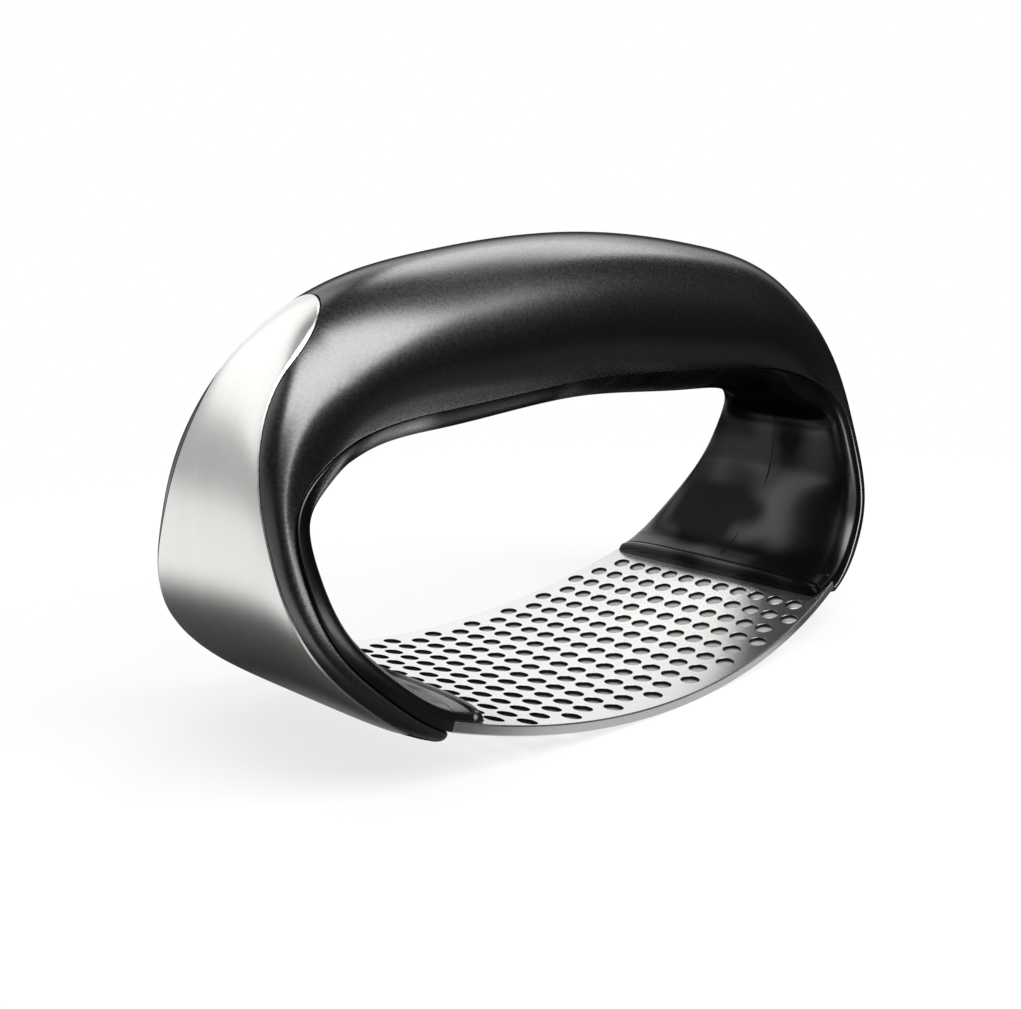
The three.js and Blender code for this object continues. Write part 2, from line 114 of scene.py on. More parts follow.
class RingSizes(bpy.types.PropertyGroup):
    """The ring handle: outer shell and inner liner."""

    rock_radius: length("Rocking radius", "Radius of the plate's underside", 0.112)
    lip_x: length("Lip", "Distance of the liner's lips from the middle of the plate", 0.0322)
    shell_end_x: length("Shell end", "Distance of the shell's ends from the middle of the plate", 0.0369)
    end_half_width: length("End half width", "Half width of the ring at its lower ends", 0.0179)
    shell_end_height: length("Shell end height", "Height of the shell outside the seam at its ends", 0.0019)
    lip_depth: length("Lip depth", "Depth of the liner inside the seam at its lips", 0.0029)
    heel: station("Heel", 0.0442, 0.0118, 0.0166, 0.0027, 0.0029)
    flank: station("Flank", 0.0484, 0.0171, 0.0148, 0.0028, 0.0029)
    side: station("Side", 0.0500, 0.0234, 0.0124, 0.0028, 0.0029)
    neck: station("Neck", 0.0495, 0.0292, 0.0104, 0.0032, 0.0029)
    shoulder: station("Shoulder", 0.0432, 0.0343, 0.0087, 0.0103, 0.0044)
    wrist: station("Wrist", 0.0356, 0.0364, 0.0087, 0.0144, 0.0037)
    arm: station("Arm", 0.0230, 0.0374, 0.0087, 0.0166, 0.0033)
    crown: station("Crown", 0.0, 0.0384, 0.0087, 0.01745, 0.0030)
    strap_flatness: FloatProperty(
        name="Strap flatness", description="How square the section gets where the ring is thin", default=3.2
    )
    seam_gap: length("Seam gap", "Gap between shell and liner", 0.00006)
    rim_radius: length("Rim radius", "Rounding of the shell's rim along the cheeks", 0.0004)
    grip_rim_radius: length("Grip rim radius", "Rounding of the shell's rim along the grip", 0.00004)
    end_rounding: length("End rounding", "Rounding of the shell's lower ends", 0.0005)
    lip_nose: length("Lip nose", "Rounding of the liner's lip over the plate", 0.0007)
    lip_bead: length("Lip bead", "Width of the raised bead along the lip", 0.0014)
    lip_bead_rise: length("Lip bead rise", "Height of the bead over the cheek", 0.00022)
    lip_groove: length("Lip groove", "Width of the groove behind the bead", 0.0005)
    lip_groove_depth: length("Lip groove depth", "Depth of the groove behind the bead", 0.0003)
    parting_width: length("Parting line width", "Width of the moulded line along the liner's middle", 0.00018)
    parting_depth: length("Parting line depth", "Depth of that line", 0.00005)


class PlateSizes(bpy.types.PropertyGroup):
    """The curved, perforated crushing plate."""

    thickness: length("Thickness", "Thickness of the sheet", 0.0012)
    half_width: length("Half width", "Half width of the plate in its middle", 0.02079)
    end_half_width: length("End half width", "Half width of the plate at its ends", 0.0179)
    end_gap: length("End gap", "Gap between the sheet's ends and the shell", 0.0002)
    hole_diameter: length("Hole diameter", "Diameter of the crushing holes", 0.0024)
    hole_pitch: length("Hole pitch", "Distance between holes in a row", 0.0031)
    row_pitch: length("Row pitch", "Distance between rows along the plate", 0.00372)
    holes_in_row: IntProperty(name="Holes in a row", description="Holes across the plate", default=12)
    row_count: IntProperty(name="Rows", description="Rows along the plate", default=17)
    edge_margin: length("Edge margin", "Least sheet between a hole and the edge", 0.0002)
    hole_bevel: length("Hole bevel", "Rounding of the holes' rims", 0.00002)
    # Painted shade in the holes: their walls are coloured near black from the rim down to the first depth,
    # and fade back to bright steel by the second
    painted_shade_depth: length("Shade depth", "Depth down to which the holes' walls are dark", 0.0004)
    painted_shade_end: length("Shade end", "Depth at which the holes' walls are bright again", 0.0007)
    edge_bevel: length("Edge bevel", "Rounding of the plate's long edges", 0.00016)
    mesh_step: length("Mesh step", "Spacing of the points between the holes", 0.0011)


class EndPlateSizes(bpy.types.PropertyGroup):
    """The steel plates let into the ends of the shell."""

    thickness: length("Thickness", "Thickness of the plates", 0.0008)
    foot: length("Foot", "Distance of a plate's foot from the shell's end", 0.004)
    length: length("Length", "Length of a plate from foot to tip", 0.0533)
    foot_half_width: length("Foot half width", "Half width at the foot", 0.0161)
    tip_half_width: length("Tip half width", "Half width where the round tip begins", 0.0052)
    tip_length: length("Tip length", "Length of the round tip", 0.009)
    tip_flat: length("Tip flat", "Half width of the tip's very end", 0.0002)
    gap: length("Gap", "Gap between a plate and the shell around it", 0.00018)
    recess_depth: length("Recess depth", "Depth of the recess in the shell", 0.00095)
    proud: length("Proud", "How far a plate stands over the shell", 0.00006)
    bevel: length("Bevel", "Width of the bevel round a plate", 0.00013)


class Finishes(bpy.types.PropertyGroup):
    """Colours of the materials."""

    shell_black: colour("Shell black", "Satin black of the outer shell", (0.0030, 0.0030, 0.0032))
    liner_black: colour("Liner black", "Smooth black of the inner liner", (0.0034, 0.0034, 0.0035))
    plate_steel: colour("Plate steel", "Polished steel of the crushing plate", (0.89, 0.885, 0.87))
    brushed_steel: colour("Brushed steel", "Brushed steel of the end plates", (0.87, 0.855, 0.835))
    screw_steel: colour("Screw steel", "Plain steel of the screws", (0.52, 0.52, 0.51))
    foam: colour("Foam", "Adhesive pads under the end plates", (0.46, 0.44, 0.39))
    floor: colour("Floor", "Pale floor, as it is seen", (0.86, 0.86, 0.86))
    floor_shade: colour("Floor shade", "Floor near the object, as it is mirrored", (0.06, 0.06, 0.058))


# Shader maths: sockets in Python expressions


class Socket:
    """One shader socket. An operation on it adds a Math node, or a Vector Math node for vectors."""

    def __init__(self, recipe, socket):
        self.recipe = recipe
        self.socket = socket

    def combined(self, operation, first, second):
        """The result of an operation on two sockets, or on a socket and a value."""
        sockets = [part.socket for part in (first, second) if isinstance(part, Socket)]
        vectors = any(socket.type == "VECTOR" for socket in sockets)
        kind = "ShaderNodeVectorMath" if vectors else "ShaderNodeMath"
        return self.recipe.node(kind, {"operation": operation}, {0: first, 1: second})

    def __add__(self, other):
        return self.combined("ADD", self, other)

    def __radd__(self, other):
        return self.combined("ADD", other, self)

    def __sub__(self, other):
        return self.combined("SUBTRACT", self, other)

    def __rsub__(self, other):
        return self.combined("SUBTRACT", other, self)

    def __mul__(self, other):
        return self.combined("MULTIPLY", self, other)


class Recipe:
    """The nodes of one material or world."""

    def __init__(self, owner):
        owner.use_nodes = True
        self.owner = owner
        self.tree = owner.node_tree
        self.tree.nodes.clear()

    def node(self, kind, settings=None, inputs=None, output=0):
        """Adds a node of that type, sets it up, feeds its sockets and gives one of its outputs."""
        made = self.tree.nodes.new(kind)
        for name, value in (settings or {}).items():
            setattr(made, name, value)
        for name, value in (inputs or {}).items():
            if isinstance(value, Socket):
                self.tree.links.new(value.socket, made.inputs[name])
            else:
                made.inputs[name].default_value = value
        return Socket(self, made.outputs[output]) if made.outputs else None

    def places(self, scale=(1, 1, 1)):
        """Coordinates on the object, stretched by a scale along each axis."""
        return self.node("ShaderNodeTexCoord", output="Object") * scale

    def noise(self, places, scale=1.0, detail=2.0, roughness=0.5):
        """Smooth noise from 0 to 1."""
        inputs = {"Vector": places, "Scale": scale, "Detail": detail, "Roughness": roughness}
        return self.node("ShaderNodeTexNoise", None, inputs)

    def ranged(self, value, low, high, to_low=0.0, to_high=1.0):
        """A value carried smoothly from one range to another."""
        inputs = {"Value": value, 1: low, 2: high, 3: to_low, 4: to_high}
        return self.node("ShaderNodeMapRange", {"interpolation_type": "SMOOTHSTEP"}, inputs)

    def tinted(self, share, first, second):
        """A colour between two others."""
        return self.node("ShaderNodeMix", {"data_type": "RGBA"}, {0: share, 6: first, 7: second}, 2)

    def toward(self, vector, way):
        """How far a vector points along a direction."""
        settings = {"operation": "DOT_PRODUCT"}
        return self.node("ShaderNodeVectorMath", settings, {0: vector, 1: way}, "Value")

    def edges(self, low, high):
        """0 on faces toward the viewer, rising to 1 where the surface turns away."""
        return self.ranged(self.node("ShaderNodeLayerWeight", None, {"Blend": 0.5}, "Facing"), low, high)

    def bumped(self, height, distance, strength):
        """A normal that follows a height."""
        inputs = {"Strength": strength, "Distance": distance, "Height": height}
        return self.node("ShaderNodeBump", None, inputs)

    def shader(self, **inputs):
        """A Principled shader; a name's underscores stand for spaces."""
        fed = {name.replace("_", " "): value for name, value in inputs.items()}
        return self.node("ShaderNodeBsdfPrincipled", None, fed)

    def dulled(self, shader, share, tone):
        """A shader that gives way to a matte one of a colour."""
        matte = self.shader(Base_Color=tone, Roughness=0.8, Specular_IOR_Level=0.0)
        return self.node("ShaderNodeMixShader", None, {0: share, 1: shader, 2: matte})

    def finish(self, shader):
        """Makes a shader the surface of the material, and gives the material."""
        self.node("ShaderNodeOutputMaterial", None, {"Surface": shader})
        return self.owner


def new_finish(name):
    """The recipe for a new material."""
    return Recipe(bpy.data.materials.new(name))


def shades(tone, *factors):
    """Darker and lighter versions of a colour, with alpha."""
    return [(*(channel * factor for channel in tone), 1.0) for factor in factors]


def shell_plastic(finishes):
    """Satin black plastic with a very fine moulded grain; where it turns away from the view it gives way to a
    matte black without sheen, a painted dark outline in place of the dark surroundings it would mirror.
    """
    recipe = new_finish("shell_plastic")
    places = recipe.places()
    grain = recipe.noise(places, scale=2600.0, roughness=0.6)
    cloud = recipe.noise(places, scale=55.0, detail=3.0)
    dark, light = shades(finishes.shell_black, 0.85, 1.2)
    satin = recipe.shader(
        Base_Color=recipe.tinted(cloud, dark, light),
        Roughness=0.27 + (cloud - 0.5) * 0.05 + (grain - 0.5) * 0.14,
        Normal=recipe.bumped(grain, distance=0.00003, strength=0.18),
        IOR=2.05,
    )
    # Painted shade: toward the outline the sheen is mixed out, so the edges stay dark whatever they would
    # mirror
    return recipe.finish(recipe.dulled(satin, recipe.edges(0.68, 0.86) * 0.92, dark))


def liner_plastic(finishes):
    """Smoother black plastic with faint waves, a few rubbed patches and duller clouds."""
    recipe = new_finish("liner_plastic")
    places = recipe.places()
    wave = recipe.noise(places, scale=70.0, detail=1.0)
    grain = recipe.noise(places, scale=2600.0)
    rubbed = recipe.ranged(recipe.noise(places, scale=130.0, detail=3.0), 0.45, 0.75)
    dull = recipe.ranged(recipe.noise(places, scale=85.0, detail=1.0), 0.43, 0.63)
    dark, light = shades(finishes.liner_black, 0.85, 1.25)
    gloss = recipe.shader(
        Base_Color=recipe.tinted(wave, dark, light),
        Roughness=0.22 + rubbed * 0.07 + (grain - 0.5) * 0.05,
        Normal=recipe.bumped(wave + grain * 0.01, distance=0.0006, strength=0.45),
        IOR=1.6,
    )
    return recipe.finish(recipe.dulled(gloss, dull * 0.85, dark))


def plate_steel(finishes):
    """Polished sheet steel with faint rolling lines along the plate and a few smears, and a painted shade,
    near black, on the upper walls of the holes.
    """
    recipe = new_finish("plate_steel")
    lines = recipe.noise(recipe.places((30, 2400, 30)))
    smear = recipe.noise(recipe.places(), scale=95.0, detail=3.0)
    dark, light, painted_shade = shades(finishes.plate_steel, 0.94, 1.03, 0.025)
    # Where the holes' walls are marked, the colour turns near black: painted shade for the shade inside the
    # holes
    in_hole = recipe.node("ShaderNodeAttribute", {"attribute_name": HOLE_SHADE_MARK}, None, "Fac")
    return recipe.finish(recipe.shader(
        Base_Color=recipe.tinted(in_hole, recipe.tinted(smear, dark, light), painted_shade),
        Metallic=1.0,
        Roughness=0.25 + (smear - 0.5) * 0.09 + (lines - 0.5) * 0.05,
        Normal=recipe.bumped(lines, distance=0.000004, strength=0.25),
    ))


def brushed_steel(finishes):
    """Brushed steel: fine strokes along the plate, uneven in length and depth."""
    recipe = new_finish("brushed_steel")
    strokes = recipe.noise(recipe.places((45, 5200, 45)), detail=3.0, roughness=0.65)
    streaks = recipe.noise(recipe.places((18, 900, 18)))
    cloud = recipe.noise(recipe.places(), scale=60.0)
    dark, light = shades(finishes.brushed_steel, 0.92, 1.05)
    return recipe.finish(recipe.shader(
        Base_Color=recipe.tinted(strokes * 0.6 + streaks * 0.4, dark, light),
        Metallic=1.0,
        Roughness=0.31 + (strokes - 0.5) * 0.14 + (cloud - 0.5) * 0.05,
        Normal=recipe.bumped(strokes + streaks * 0.5, distance=0.000006, strength=0.3),
    ))


def screw_steel(finishes):
    """Plain turned steel of the hidden screws."""
    recipe = new_finish("screw_steel")
    turned = recipe.noise(recipe.places(), scale=2200.0)
    dark, light = shades(finishes.screw_steel, 0.85, 1.1)
    return recipe.finish(recipe.shader(
        Base_Color=recipe.tinted(turned, dark, light),
        Metallic=1.0,
        Roughness=0.36 + (turned - 0.5) * 0.16,
        Normal=recipe.bumped(turned, distance=0.00001, strength=0.3),
    ))


def foam_adhesive(finishes):
    """Open foam of the hidden adhesive pads."""
    recipe = new_finish("foam_adhesive")
    cells = recipe.noise(recipe.places(), scale=3200.0, detail=3.0)
    dark, light = shades(finishes.foam, 0.75, 1.1)
    return recipe.finish(recipe.shader(
        Base_Color=recipe.tinted(cells, dark, light),
        Roughness=0.86 + (cells - 0.5) * 0.1,
        Normal=recipe.bumped(cells, distance=0.00005, strength=0.6),
    ))


# Curves and sections of the ring


class ClosedSpline:
    """A smooth closed curve through rows of values at rising knots."""

    def __init__(self, knots, values):
        self.knots = knots
        self.values = np.vstack([values, values[:1]])
        steps = np.diff(knots)
        slopes = np.diff(self.values, axis=0) / steps[:, None]
        count = len(values)
        matrix = np.zeros((count, count))
        for i in range(count):
            before = steps[i - 1]
            matrix[i, i - 1] += before / 6
            matrix[i, i] += (before + steps[i]) / 3
            matrix[i, (i + 1) % count] += steps[i] / 6
        bends = np.linalg.solve(matrix, slopes - np.roll(slopes, 1, axis=0))
        self.bends = np.vstack([bends, bends[:1]])

    def parts(self, at):
        """The span that each place lies in, its length, and the shares of the span after and before."""
        at = np.mod(at, self.knots[-1])
        i = np.clip(np.searchsorted(self.knots, at, side="right") - 1, 0, len(self.knots) - 2)
        step = (self.knots[i + 1] - self.knots[i])[:, None]
        after = (at - self.knots[i])[:, None] / step
        return i, step, after, 1 - after

    def points(self, at):
        """Values at places along the curve."""
        i, step, b, a = self.parts(at)
        line = a * self.values[i] + b * self.values[i + 1]
        curve = (a**3 - a) * self.bends[i] + (b**3 - b) * self.bends[i + 1]
        return line + curve * step**2 / 6

    def slopes(self, at):
        """Slopes of the values at places along the curve."""
        i, step, b, a = self.parts(at)
        line = (self.values[i + 1] - self.values[i]) / step
        curve = (3 * b**2 - 1) * self.bends[i + 1] - (3 * a**2 - 1) * self.bends[i]
        return line + curve * step / 6


class Section:
    """The ring's cross-section at one place: a rounded shape across Y, with the seam at height 0."""

    def __init__(self, origin, outward, half_width, outer, inner, flatness):
        self.origin = origin
        self.outward = outward
        self.half_width = half_width
        self.outer = outer
        self.half = (outer + inner) / 2
        self.middle = (outer - inner) / 2
        self.power = 2 + flatness * max(0.0, 1 - self.half / half_width)

    def crossing(self, height):
        """Direction in which the outline passes a height over the seam, in front."""
        share = np.clip((height - self.middle) / self.half, -1, 1)
        y = self.half_width * (1 - abs(share) ** self.power) ** (1 / self.power)
        return math.atan2(height - self.middle, y)

    def outline(self, start, end):
        """Points of the outline, Y and height, between two directions."""
        angles = np.linspace(start, end, ARC_SAMPLES)
        cos, sin = np.cos(angles), np.sin(angles)
        spread = (np.abs(cos) / self.half_width) ** self.power + (np.abs(sin) / self.half) ** self.power
        reach = spread ** (-1 / self.power)
        return np.column_stack([reach * cos, self.middle + reach * sin])

    def surface_height(self, y):
        """Height of the outer surface over the seam at a distance from the middle."""
        share = np.minimum(1, np.abs(y) / self.half_width)
        return self.middle + self.half * (1 - share**self.power) ** (1 / self.power)

    def placed(self, flat):
        """Points in space for rows of Y and height."""
        spots = self.origin[None, :] + flat[:, 1:2] * self.outward[None, :]
        return np.column_stack([spots[:, 0], flat[:, 0], spots[:, 1]])


class Ring:
    """The seam curve and the sizes along it, counted by a place from 0 to its full length."""

    def __init__(self, sizes):
        self.sizes = sizes
        radius = sizes.rock_radius
        bottom = [0.0, sizes.lip_x / 2, sizes.lip_x, sizes.shell_end_x]
        ends = (sizes.end_half_width, sizes.shell_end_height, sizes.lip_depth)
        rows = [(x, radius - math.sqrt(radius**2 - x**2), *ends) for x in bottom]
        named = ("heel", "flank", "side", "neck", "shoulder", "wrist", "arm", "crown")
        rows += [tuple(getattr(sizes, name)) for name in named]
        mirrored = [(-x, *rest) for x, *rest in rows[-2:0:-1]]
        table = np.array(rows + mirrored)
        loop = np.vstack([table, table[:1]])
        knots = travelled(loop[:, :2])
        self.curve = ClosedSpline(knots, table)
        self.whole = knots[-1]
        self.lip = knots[bottom.index(sizes.lip_x)]
        self.shell_end = knots[bottom.index(sizes.shell_end_x)]
        self.cheek_top, self.grip, self.crown = (
            knots[len(bottom) + named.index(name)] for name in ("shoulder", "arm", "crown")
        )

    def outward(self, places):
        """Directions out of the ring, square to the seam, as X and Z."""
        slopes = self.curve.slopes(places)[:, :2]
        tangents = slopes / np.linalg.norm(slopes, axis=1)[:, None]
        return np.column_stack([tangents[:, 1], -tangents[:, 0]])

    def sections(self, places, shaping=None):
        """Sections at places; shaping changes a row of half width, height and depth."""
        made = []
        for i, (row, outward) in enumerate(zip(self.curve.points(places), self.outward(places))):
            width, outer, inner = shaping(i, row[2:]) if shaping else row[2:]
            made.append(Section(row[:2], outward, width, outer, inner, self.sizes.strap_flatness))
        return made

    def track(self, start, end, outer):
        """Places from start to end and the length up to each, along the crest or the seam."""
        places = np.linspace(start, end, TRACK_SAMPLES)
        rows = self.curve.points(places)
        points = rows[:, :2]
        if outer:
            points = points + self.outward(places) * rows[:, 3:4]
        return places, travelled(points)

    def rim_radii(self, places, share=1.0):
        """Rounding of the rim at places: a share of the full one along the cheeks, fine along the grip."""
        near = np.minimum(places, self.whole - places)
        cheek = np.clip((self.grip - near) / (self.grip - self.cheek_top), 0, 1)
        smooth = cheek * cheek * (3 - 2 * cheek)
        fine = self.sizes.grip_rim_radius
        return fine + (self.sizes.rim_radius - fine) * smooth * share


def mirrored_places(ring, right):
    """Places on both halves of the ring from those on the right half, which end at the crown."""
    return np.concatenate([right, ring.whole - right[-2::-1]])


def even(start, end, step):
    """Values from start to end, no further apart than a step."""
    return np.linspace(start, end, max(2, math.ceil((end - start) / step) + 1))


def joined_stops(*runs):
    """Runs of rising values as one, without the doubled ends."""
    stops = np.unique(np.concatenate(runs))
    return stops[np.concatenate([[True], np.diff(stops) > FINE_STEP / 4])]


def travelled(points):
    """Length along a line of points, up to each of them."""
    return np.concatenate([[0.0], np.cumsum(np.linalg.norm(np.diff(points, axis=0), axis=1))])


def resampled(points, lengths):
    """Points at lengths along a line of points."""
    passed = travelled(points)
    return np.column_stack([np.interp(lengths, passed, points[:, k]) for k in range(2)])


def rounded_corner(before, corner, after):
    """Points of a soft corner between two points."""
    t = np.linspace(0, 1, CORNER_STEPS + 1)[:, None]
    return (1 - t) ** 2 * before + 2 * t * (1 - t) * corner + t**2 * after


def closed_outline(arc, radius):
    """An arc whose two ends are joined by a straight chord with soft corners; gives the chord's points."""
    start, end = arc[0], arc[-1]
    chord = (start - end) / np.linalg.norm(start - end)
    head, tail = resampled(arc, np.array([radius, travelled(arc)[-1] - radius]))
    closing = rounded_corner(tail, end, end + chord * radius)
    flat = np.linspace(end + chord * radius, start - chord * radius, CHORD_STEPS + 1)[1:-1]
    opening = rounded_corner(start - chord * radius, start, head)
    return np.vstack([closing[1:], flat, opening[:-1]])


# Meshes


class MeshParts:
    """Points and faces of one piece, gathered patch by patch."""

    def __init__(self):
        self.points = []
        self.marks = []
        self.faces = []
        self.count = 0

    def add(self, points, mark=0.0):
        """Adds points, with a mark that the material reads as painted shade, and gives the number of each."""
        points = np.asarray(points, float).reshape(-1, 3)
        first = self.count
        self.points.append(points)
        self.marks.append(np.full(len(points), mark))
        self.count += len(points)
        return np.arange(first, self.count)

    def grid(self, rows):
        """Adds rows of points and gives the grid of their numbers."""
        return self.add(rows).reshape(len(rows), -1)

    def quads(self, grid):
        """Faces of a grid of point numbers."""
        corners = [grid[:-1, :-1], grid[1:, :-1], grid[1:, 1:], grid[:-1, 1:]]
        self.faces += np.stack(corners, axis=-1).reshape(-1, 4).tolist()

    def strip(self, first, second):
        """Faces between two closed loops of point numbers."""
        first = np.append(first, first[0])
        second = np.append(second, second[0])
        self.quads(np.stack([first, second]))

    def caps(self, grid):
        """Faces over the first and the last row of a grid of point numbers."""
        self.faces += [grid[0].tolist(), grid[-1][::-1].tolist()]

    def piece(self, name, material, slot, *nodes):
        """Makes the piece, rides it on the body and lets it stand for its solids."""
        mesh = bpy.data.meshes.new(name)
        mesh.from_pydata(np.vstack(self.points), [], self.faces)
        marks = np.concatenate(self.marks)
        # Marked points carry the painted shade of the holes' walls to the steel
        if marks.any():
            mesh.attributes.new(HOLE_SHADE_MARK, "FLOAT", "POINT").data.foreach_set("value", marks)
        mesh.validate()
        mesh.materials.append(material)
        made = bpy.data.objects.new(name, mesh)
        bpy.context.scene.collection.objects.link(made)
        smoothed(mesh)
        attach(made, BODY)
        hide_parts(*nodes)
        return made


def smoothed(mesh):
    """Outward faces, smooth shading, and sharp edges where faces meet at an angle."""
    work = bmesh.new()
    work.from_mesh(mesh)
    bmesh.ops.remove_doubles(work, verts=work.verts, dist=MERGE_DISTANCE)
    bmesh.ops.recalc_face_normals(work, faces=work.faces)
    work.to_mesh(mesh)
    work.free()
    mesh.polygons.foreach_set("use_smooth", [True] * len(mesh.polygons))
    mesh.set_sharp_from_angle(angle=SHARP_ANGLE)
    mesh.update()


def loop_of(grid):
    """The border of a grid of point numbers, as one closed loop."""
    return np.concatenate([grid[:-1, 0], grid[-1, :-1], grid[:0:-1, -1], grid[0, :0:-1]])


class EndBand:
    """The outline of an end plate on the shell's outer surface, for the right-hand end."""

    def __init__(self, ring, sizes):
        self.ring = ring
        self.sizes = sizes
        self.places, self.lengths = ring.track(ring.shell_end, ring.crown, True)
        self.neck = sizes.length - sizes.tip_length

    def reach(self, lengths, grow):
        """Half width at lengths from the foot: wide foot, narrow neck, round tip."""
        sizes = self.sizes
        blend = (1 + np.cos(math.pi * np.clip(lengths / self.neck, 0, 1))) / 2
        straight = sizes.tip_half_width + (sizes.foot_half_width - sizes.tip_half_width) * blend + grow
        past = np.clip((lengths - self.neck) / (sizes.tip_length + grow), 0, 1)
        tip = np.maximum((sizes.tip_half_width + grow) * np.sqrt(1 - past**2), sizes.tip_flat)
        return np.where(past > 0, tip, straight)

    def stops(self, grow):
        """Lengths from the foot, closer together round the tip."""
        run = np.linspace(-grow, self.neck, round(self.neck / ROW_STEP))
        last = math.acos(self.sizes.tip_flat / (self.sizes.tip_half_width + grow))
        angles = np.linspace(0, last, TIP_STEPS + 1)[1:]
        return np.concatenate([run, self.neck + (self.sizes.tip_length + grow) * np.sin(angles)])

    def place(self, lengths):
        """Places on the ring at lengths from the foot."""
        return np.interp(lengths + self.sizes.foot, self.lengths, self.places)

    def grid(self, grow, lift):
        """A grid of points over the band, widened by grow and lifted off the shell."""
        stops = self.stops(grow)
        reaches = self.reach(stops, grow)
        shares = np.linspace(-1, 1, BAND_COLUMNS + 1)
        rows = []
        for section, reach in zip(self.ring.sections(self.place(stops)), reaches):
            y = shares * reach
            rows.append(section.placed(np.column_stack([y, section.surface_height(y) + lift])))
        return np.array(rows)


def shell_rows(ring, band, lengths):
    """Rows of points round the shell and rows of the recess's floor, at lengths from both ends."""
    sizes = ring.sizes
    places = mirrored_places(ring, np.interp(lengths, band.lengths, band.places))
    from_end = np.concatenate([lengths, lengths[-2::-1]])
    reaches = band.reach(from_end - band.sizes.foot, band.sizes.gap)
    shrink = np.clip(1 - from_end / sizes.end_rounding, 0, 1)
    drop = sizes.end_rounding * (1 - np.sqrt(1 - shrink**2))
    sections = ring.sections(places, lambda i, row: (row[0] - drop[i], row[1] - drop[i], row[2]))
    rows = []
    floors = []
    for section, radius, reach in zip(sections, ring.rim_radii(places), reaches):
        start = section.crossing(sizes.seam_gap / 2)
        arc = section.outline(start, math.pi - start)
        total = travelled(arc)[-1]
        front = arc_length_at(arc, reach)
        stops = np.concatenate([
            np.linspace(radius, front, RIM_SPAN_STEPS + 1)[:-1],
            np.linspace(front, total - front, OPENING_STEPS + 1),
            np.linspace(total - front, total - radius, RIM_SPAN_STEPS + 1)[1:],
        ])
        outer = resampled(arc, stops)
        rows.append(section.placed(np.vstack([outer, closed_outline(arc, radius)])))
        floor = outer[RIM_SPAN_STEPS : RIM_SPAN_STEPS + OPENING_STEPS + 1].copy()
        floor[:, 1] -= band.sizes.recess_depth
        floors.append(section.placed(floor))
    return rows, floors


def build_shell(ring, band, material):
    """The outer shell, with a recess for each end plate."""
    rounding = ring.sizes.end_rounding
    opening = band.stops(band.sizes.gap) + band.sizes.foot
    lengths = joined_stops(
        rounding * (1 - np.cos(np.linspace(0, math.pi / 2, CORNER_STEPS + 1))),
        even(rounding, opening[0], ROW_STEP),
        opening,
        even(opening[-1], band.lengths[-1], ROW_STEP),
    )
    rows, floors = shell_rows(ring, band, lengths)
    first, last = (int(np.argmin(np.abs(lengths - stop))) for stop in (opening[0], opening[-1]))
    spans = [(first, last), (len(rows) - 1 - last, len(rows) - 1 - first)]

    parts = MeshParts()
    numbers = parts.grid(rows)
    closed = np.column_stack([numbers, numbers[:, :1]])
    low, high = RIM_SPAN_STEPS, RIM_SPAN_STEPS + OPENING_STEPS
    parts.quads(closed[:, : low + 1])
    parts.quads(closed[:, high:])
    middle = closed[:, low : high + 1]
    parts.quads(middle[: spans[0][0] + 1])
    parts.quads(middle[spans[0][1] : spans[1][0] + 1])
    parts.quads(middle[spans[1][1] :])
    for start, end in spans:
        recess = parts.grid(floors[start : end + 1])
        parts.quads(recess)
        parts.strip(loop_of(middle[start : end + 1]), loop_of(recess))
    parts.caps(numbers)
    parts.piece("shell", material, "black_plastic", "handle_shell")


def arc_length_at(arc, y):
    """Length along an outline, from its front end, at which it is y in front of the middle."""
    widest = int(np.argmax(arc[:, 0]))
    half = slice(widest, len(arc) // 2 + 1)
    return np.interp(-y, -arc[half, 0], travelled(arc)[half])


def build_liner(ring, plate, material):
    """The liner that covers the inside of the ring, with a beaded lip over the plate at each end."""
    sizes = ring.sizes
    track, lengths = ring.track(ring.lip, ring.crown, False)
    lip_end = sizes.lip_bead + 2 * sizes.lip_groove
    covered = float(np.interp(ring.shell_end, track, lengths))
    step_in = (covered - plate.end_gap, covered - plate.end_gap + FINE_STEP)
    stops = joined_stops(
        even(0, lip_end, FINE_STEP),
        even(lip_end, step_in[0], ROW_STEP),
        even(step_in[1], lengths[-1], ROW_STEP),
    )
    places = mirrored_places(ring, np.interp(stops, lengths, track))
    from_lip = np.concatenate([stops, stops[-2::-1]])
    radii = ring.rim_radii(places, LINER_RIM_SHARE)
    rests = plate.thickness + sizes.seam_gap
    base = np.where(from_lip < sum(step_in) / 2, -rests, -sizes.seam_gap / 2)
    share, offset = lip_profile(sizes, from_lip, rests * LIP_FLOOR_MARGIN)
    sections = ring.sections(places, lambda i, row: (row[0], row[1], row[2] * share[i] + offset[i]))

    rows = []
    for i, section in enumerate(sections):
        start = section.crossing(base[i])
        arc = section.outline(math.pi - start, 2 * math.pi + start)
        inner = resampled(arc, liner_lengths(sizes, travelled(arc)[-1], radii[i]))
        line = np.clip(1 - np.abs(inner[:, 0]) / (sizes.parting_width / 2), 0, 1)
        inner[:, 1] += sizes.parting_depth * line * (from_lip[i] > lip_end)
        rows.append(section.placed(np.vstack([inner, closed_outline(arc, radii[i])])))

    parts = MeshParts()
    numbers = parts.grid(rows)
    parts.quads(np.column_stack([numbers, numbers[:, :1]]))
    parts.caps(numbers)
    parts.piece("liner", material, "liner_plastic", "inner_liner")


def liner_lengths(sizes, total, radius):
    """Lengths along the liner's outline, closer together at the parting line in its middle."""
    half = total / 2
    wide = sizes.parting_width
    side = np.linspace(radius, half - wide, LINER_STEPS // 2)
    line = half + np.linspace(-wide / 2, wide / 2, PARTING_POINTS)
    return np.concatenate([side, line, total - side[::-1]])


